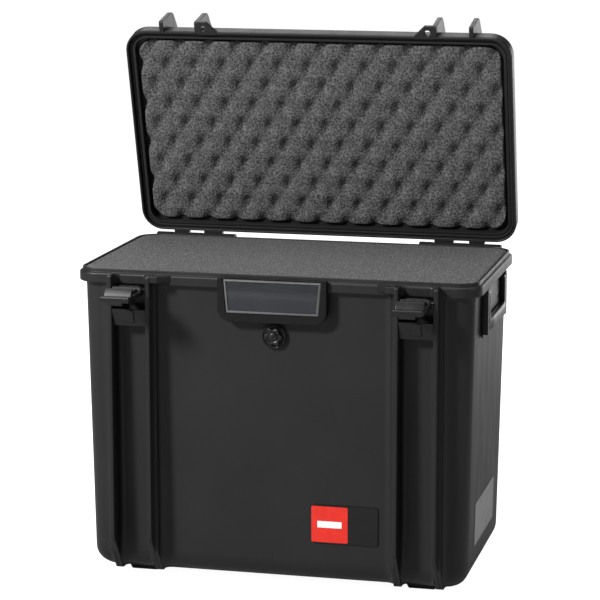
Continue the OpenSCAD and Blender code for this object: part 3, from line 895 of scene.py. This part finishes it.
def latch_mesh():
    """The lever as it stands closed, about its pivot: (y, z) outlines, outwards is -Y."""
    bm = bmesh.new()
    shoulder = LID_BAND_TOP - LATCH_POS[2]
    boss = turned(soft_profile([(PIN_BORE_R, -11), (6, -11), (6, 11), (PIN_BORE_R, 11)], 0.7), 48)
    absorb(bm, boss, turn(90, "Y"))
    plate = [(-3, -4), (2, -4), (2, LEVER_LEN - 7), (3, LEVER_LEN - 5), (3, LEVER_LEN - 1), (2, LEVER_LEN),
             (-3, LEVER_LEN)]
    absorb(bm, prism(plate, -LEVER_HALF, LEVER_HALF, "x", 0.9))
    # the nose that closes over the lid's band, the finger lip and the cross bar
    nose = [(-2, shoulder + 0.6), (9, shoulder + 0.6), (9, shoulder + 3), (3, shoulder + 7), (-2, shoulder + 8)]
    absorb(bm, prism(nose, -LEVER_HALF + 1, LEVER_HALF - 1, "x", 0.8))
    lip = [(-2, LEVER_LEN - 9), (-6, LEVER_LEN - 4), (-6, LEVER_LEN), (-2, LEVER_LEN)]
    absorb(bm, prism(lip, -8.5, 8.5, "x", 0.9))
    bar = [(0, 5.5), (6.2, 6.5), (6.2, 11), (0, 12.5)]
    absorb(bm, prism(bar, -LEVER_HALF, LEVER_HALF, "x", 0.8))
    # two stiffening ribs between the cross bar and the nose
    for x in (-11.2, 9.2):
        absorb(bm, prism([(1, 9), (4.6, 10), (4.6, shoulder), (1, shoulder + 1)], x, x + 2, "x", 0.5, 2))
    return bm


def guard_mesh():
    """The sloping plate between the ribs below a latch, with its raised pad."""
    bm = bmesh.new()
    front, top, low = -RIB_FRONT, RIM_TOP - 39.5, RIM_TOP - 58
    half, pad_half = CHANNEL_HALF - 0.05, 5.5
    plate = [(front, top), (front + 6, low), (front + 9, low), (front + 3, top)]
    absorb(bm, prism(plate, LATCH_X - half, LATCH_X + half, "x", 0.5))
    pad = [(front - 1.2, top - 1), (front + 3, low + 4.5), (front + 6, low + 4.5), (front + 2, top - 1)]
    absorb(bm, prism(pad, LATCH_X - pad_half, LATCH_X + pad_half, "x", 0.7))
    return bm


def make_latches():
    place = Matrix.Translation(LATCH_POS) @ turn(LEVER_ANGLE, "X")
    for side, word in ((1, "right"), (-1, "left")):
        lever = mirrored(lambda: placed(latch_mesh(), place), side)
        piece("lever_" + word, lever, "latch_" + word, "hardware_resin", ["latch_lever_" + word])
        piece("guard_" + word, mirrored(guard_mesh, side), "case", "hardware_resin", ["latch_guard_" + word])


# ---- label holder, badge and side label ----

TRAY_FRONT = RIM_Y + 5.5
TRAY_HALF, TRAY_LOW = 58.0, RIM_TOP - 49
CARD_TOP, CARD_LOW, CARD_HALF_TOP, CARD_HALF_LOW = RIM_TOP - 4, RIM_TOP - 39.5, 52.0, 49.0


def card_outline(grow):
    """The card's trapezium, grown on every side."""
    return [(CARD_HALF_TOP + grow, CARD_TOP + grow), (-CARD_HALF_TOP - grow, CARD_TOP + grow),
            (-CARD_HALF_LOW - grow, CARD_LOW - grow), (CARD_HALF_LOW + grow, CARD_LOW - grow)]


def tray_mesh():
    half, low = TRAY_HALF, TRAY_LOW
    shape = [(half, BAND_TOP + 1.9), (-half, BAND_TOP + 1.9)]
    r = 14
    shape += circle_arc((-half + r, low + r), r, 180, 270, 8)
    shape += circle_arc((half - r, low + r), r, 270, 360, 8)
    bm = prism(shape, -TUB_Y - 0.15, -TRAY_FRONT, "y", 1.3, 4, 30)
    band = box_prism((-RIM_X, -RIM_Y - 0.1, BAND_LOW), (RIM_X, -TUB_Y + 5, BAND_TOP + 5), 0)
    pocket = prism(card_outline(0.35), -TRAY_FRONT + 3, -TRAY_FRONT - 2, "y", 0)
    return carve(bm, band, pocket)


def make_label_holder():
    piece("label_frame", tray_mesh(), "case", "hardware_resin", ["label_tray"], "tray_black", sharp=28)
    card = prism(card_outline(-0.1), -TRAY_FRONT + 3, -TRAY_FRONT + 2.42, "y", 0.12, 2)
    piece("label_insert", card, "case", "card", ["label_card"])
    window = prism(card_outline(-1.9), -TRAY_FRONT + 2.2, -TRAY_FRONT + 0.75, "y", 0.15, 2)
    piece("label_cover", window, "case", "clear_window", ["label_window"], weighted=False)
    # the polished bevel round the window, which catches the light; its light grey is also a painted highlight
    edge = bmesh.new()
    section = ((-0.05, 2.2), (-0.05, 1.3), (-0.3, 1.1), (-2.1, 0.3), (-2.3, 0.4), (-2.3, 2.2))
    loft(edge, [[(x, y - TRAY_FRONT, z) for x, z in card_outline(grow)] for grow, y in section], closed=True)
    clean(edge)
    piece("label_cover_edge", edge, "case", "clear_window", look="window_edge", weighted=False)


def flat_on_wall(outline, thick, edge):
    """A flat sheet with softened edges, lying in XY and standing up from 0."""
    return prism(outline, 0, thick, "z", edge, 2)


SHEET_GAP = 0.04        # between a sheet and the wall or sheet under it
BADGE_T, FIELD_T, INK_T, LABEL_T = 1.4, 0.6, 0.1, 0.4


def make_badge():
    low, high = (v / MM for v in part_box("badge_plate"))
    x, z = (low.x + high.x) / 2, (low.z + high.z) / 2
    half_x, half_z = (high.x - low.x) / 2, (high.z - low.z) / 2
    place = Matrix.Translation((x, -wall_at(TUB_Y, z) - SHEET_GAP, z)) @ turn(90 + DRAFT, "X")
    plate = flat_on_wall(rounded_outline(half_x, half_z, 3, 6), BADGE_T, 0.45)
    piece("badge", placed(plate, place), "case", "badge_black", ["badge_plate"])
    red_low, red_high = (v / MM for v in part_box("badge_square"))
    red_x, red_half = (red_low.x + red_high.x) / 2 - x, (red_high.x - red_low.x) / 2
    on_top = place @ Matrix.Translation((0, 0, BADGE_T + SHEET_GAP))
    red = flat_on_wall([(a + red_x, b) for a, b in rounded_outline(red_half, red_half, 1.5, 5)], FIELD_T, 0.2)
    piece("badge_field", placed(red, on_top), "case", "badge_red", ["badge_square"])
    # a plain printed bar, raised by the thickness of the ink
    left, right, half = red_x - 13, red_x + 13, 3.5
    bar = flat_on_wall([(left, -half), (right, -half), (right, half), (left, half)], INK_T, 0.03)
    bmesh.ops.translate(bar, vec=(0, 0, FIELD_T), verts=bar.verts)
    piece("badge_bar", placed(bar, on_top), "case", "badge_red", look="badge_white")


def make_side_label():
    low, high = (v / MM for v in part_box("side_label"))
    z = (low.z + high.z) / 2
    half_y, half_z = (high.y - low.y) / 2, (high.z - low.z) / 2
    place = Matrix.Translation((wall_at(TUB_X, z) + SHEET_GAP, 0, z)) @ turn(90, "Z") @ turn(90 + DRAFT, "X")
    film = flat_on_wall(rounded_outline(half_y, half_z, 2, 5), LABEL_T, 0.15)
    piece("rating_label", placed(film, place), "case", "label_grey", ["side_label"])


# ---- end handles ----

HANDLE_POS = [c / MM for c in JOINTS["handle_right_hinge"]["pos_m"]]
PLATE_X, PLATE_T = TUB_X + 0.05, 2.0
HANDLE_HALF, CHEEK_T = 63.0, 9.0
ARM_OUT = HANDLE_HALF - CHEEK_T - 0.5
ARM_IN = ARM_OUT - 7.5
ARM_HALF, HANDLE_BORE_R = 2.6, 1.56
GRIP_DROP, GRIP_HALF_Z, GRIP_BULGE = 32.5, 6.5, 2.5
SCREW_Y, SCREW_Z = 30.0, HANDLE_POS[2] - 15


def handle_base_mesh():
    """The bracket: a plate with two countersunk screw holes and a cheek at each end."""
    z0, z1 = HANDLE_POS[2] - 45, HANDLE_POS[2] + 5.4
    plate = prism([(-HANDLE_HALF, z0), (HANDLE_HALF, z0), (HANDLE_HALF, z1), (-HANDLE_HALF, z1)],
                  PLATE_X, PLATE_X + PLATE_T, "x", 0.5)
    cutters = []
    for y in (-SCREW_Y, SCREW_Y):
        sink = turned([(0, -1), (1.6, -1), (1.6, 0.5), (3.5, 0.5), (3.5, 3), (0, 3)], 40)
        cutters.append(placed(sink, Matrix.Translation((PLATE_X, y, SCREW_Z)) @ turn(90, "Y")))
    bm = carve(plate, *cutters)
    for sy in (-1, 1):
        low, high = sorted((sy * HANDLE_HALF, sy * (HANDLE_HALF - CHEEK_T)))
        shape = [(PLATE_X, low), (PLATE_X + 7, low), (PLATE_X + 7, high), (PLATE_X, high)]
        absorb(bm, prism(shape, z0 + 3, z1, "z", 1.2, 4))
    return bm


def handle_mesh():
    """The grip as it hangs flat: two arms with their pivot eyes, and the bar between them."""
    bm = bmesh.new()
    x, z = HANDLE_POS[0], HANDLE_POS[2]
    r = ARM_HALF
    for sy in (-1, 1):
        low, high = sorted((sy * ARM_IN, sy * ARM_OUT))
        eye = turned(soft_profile([(HANDLE_BORE_R, low), (r, low), (r, high), (HANDLE_BORE_R, high)], 0.5), 32)
        absorb(bm, eye, Matrix.Translation((x, 0, z)) @ turn(-90, "X"))
        arm = [(x - r, low), (x + r, low), (x + r, high), (x - r, high)]
        absorb(bm, prism(arm, z - 30, z - 1.5, "z", 0.9))
    # the bar: a rounded box section that bulges outwards between the arms
    rings = []
    count, levels, power = 28, 24, 0.55
    for i in range(levels + 1):
        y = -ARM_OUT + 2 * ARM_OUT * i / levels
        edge = ARM_OUT - abs(y)
        swell = GRIP_BULGE * (1 - math.cos(math.pi * min(edge / 18, 1))) / 2
        end = 1 - 0.12 * max(1 - edge / 2.5, 0) ** 2
        half_x, half_z = (r + swell / 2) * end, GRIP_HALF_Z * end
        ring = []
        for k in range(count):
            a = 2 * math.pi * k / count
            c, s = math.cos(a), math.sin(a)
            ring.append((x + swell / 2 + half_x * math.copysign(abs(c) ** power, c), y,
                         z - GRIP_DROP + half_z * math.copysign(abs(s) ** power, s)))
        rings.append(ring)
    grip = bmesh.new()
    loft(grip, rings)
    clean(grip)
    return absorb(bm, grip)


def screw_mesh():
    """The bracket's two cross-slotted screws."""
    bm = bmesh.new()
    profile = [(0, -4.3), (1.4, -4.3), (1.4, 0.6), (3.2, 0.6), (3.2, 1.3), (2.4, 1.85), (0, 1.9)]
    for y in (-SCREW_Y, SCREW_Y):
        slots = [box_prism((-1.9, -0.35, 1.2), (1.9, 0.35, 3), 0), box_prism((-0.35, -1.9, 1.2), (0.35, 1.9, 3), 0)]
        head = carve(turned(soft_profile(profile, 0.25), 36), *slots)
        absorb(bm, head, Matrix.Translation((PLATE_X, y, SCREW_Z)) @ turn(90, "Y"))
    return bm


def make_handles():
    for side, word in ((1, "right"), (-1, "left")):
        piece("handle_bracket_" + word, mirrored(handle_base_mesh, side), "case", "hardware_resin",
              ["handle_base_" + word], sharp=28)
        piece("grip_" + word, mirrored(handle_mesh, side), "handle_" + word + "_body", "hardware_resin",
              ["handle_" + word])
        piece("screws_" + word, mirrored(screw_mesh, side), "case", "steel", ["handle_screws_" + word])


# ---- feet ----

def make_feet():
    for name in ("foot_front_left", "foot_front_right", "foot_back_left", "foot_back_right"):
        low, high = (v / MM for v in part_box(name))
        mid = (low.x + high.x) / 2
        half = (high.x - low.x) / 2
        shape = [(mid - half + 1.5, low.z), (mid + half - 1.5, low.z), (mid + half + 1.6, high.z - 0.05),
                 (mid - half - 1.6, high.z - 0.05)]
        piece(name + "_pad", prism(shape, low.y, high.y, "y", 1.0, 4), "case", "case_resin", [name])


# ---- carried-over nodes, floor and light ----

CARRIED = {"hinge_pin_left": "steel", "hinge_pin_right": "steel",
           "latch_pin_left": "black_steel", "latch_pin_right": "black_steel",
           "handle_pins_left": "steel", "handle_pins_right": "steel",
           "valve_o_ring": "seal_rubber", "valve_nut": "hardware_resin", "valve_membrane": "membrane"}


def dress_carried():
    """Gives the CAD nodes that are shown as they are their finish."""
    for name, slot in CARRIED.items():
        made = frame["nodes"][name]
        made.data.materials.clear()
        made.data.materials.append(LOOK[slot])
        made.data.polygons.foreach_set("material_index", [0] * len(made.data.polygons))


FLOOR_HALF = 14.0               # metres
FLOOR_SEEN = 0.97               # how much the camera alone sees the floor glow
WORLD_LIGHT, WORLD_SEEN = 0.10, 1.0
LIGHTS = (                      # name, place, aim and size in metres, power in watts
    ("key_left", (-1.9, -2.4, 2.1), (0, 0, 0.25), (0.55, 0.55), 215),
    ("fill_right", (2.6, -0.6, 1.5), (0, 0, 0.25), (1.4, 1.8), 20),
    ("low_right", (0.75, 1.9, 0.25), (0.215, 0, 0.17), (1.8, 1.1), 14),
    ("back_high", (-0.6, 2.3, 2.2), (0, 0, 0.35), (1.6, 1.6), 18),
    ("top", (0.2, 0.1, 2.6), (0, 0, 0.3), (1.8, 1.4), 32),
)


def make_floor():
    bm = bmesh.new()
    bmesh.ops.create_grid(bm, x_segments=1, y_segments=1, size=FLOOR_HALF)
    mesh = bpy.data.meshes.new("floor")
    bm.to_mesh(mesh)
    bm.free()
    floor = bpy.data.objects.new("floor", mesh)
    bpy.context.scene.collection.objects.link(floor)
    m = Nodes("floor_paper")
    m.tone(m.noise(3, 2), grey(0.39), grey(0.41))
    # the paper is seen as plain white, but throws back less light than that
    seen = m.add("ShaderNodeLightPath").outputs["Is Camera Ray"]
    m.link(m.math("MULTIPLY", seen, FLOOR_SEEN), m.shader.inputs["Emission Strength"])
    m.set(Roughness=0.9, Specular_IOR_Level=0.1, Emission_Color=(1, 1, 1, 1))
    floor.data.materials.append(m.material)


def area_light(name, place, aim, size, power):
    data = bpy.data.lights.new(name, "AREA")
    data.shape = "RECTANGLE"
    data.size, data.size_y = size
    data.energy = power
    made = bpy.data.objects.new(name, data)
    bpy.context.scene.collection.objects.link(made)
    made.location = place
    made.rotation_euler = (Vector(aim) - Vector(place)).to_track_quat("-Z", "Y").to_euler()


def make_light():
    """A white room that lights little but is seen as white, and five soft lamps."""
    world = bpy.data.worlds.new("studio")
    bpy.context.scene.world = world
    world.use_nodes = True
    tree = world.node_tree
    tree.nodes.clear()
    output = tree.nodes.new("ShaderNodeOutputWorld")
    mix = tree.nodes.new("ShaderNodeMixShader")
    path = tree.nodes.new("ShaderNodeLightPath")
    tree.links.new(path.outputs["Is Camera Ray"], mix.inputs["Fac"])
    tree.links.new(mix.outputs["Shader"], output.inputs["Surface"])
    for socket, strength in ((mix.inputs[1], WORLD_LIGHT), (mix.inputs[2], WORLD_SEEN)):
        background = tree.nodes.new("ShaderNodeBackground")
        background.inputs["Color"].default_value = (1, 1, 1, 1)
        background.inputs["Strength"].default_value = strength
        tree.links.new(background.outputs["Background"], socket)
    for light in LIGHTS:
        area_light(*light)
    bpy.context.scene.view_settings.view_transform = "Standard"


make_camera()
make_body()
make_valve()
make_foam()
make_lid()
make_latches()
make_label_holder()
make_badge()
make_side_label()
make_handles()
make_feet()
dress_carried()
make_floor()
make_light()
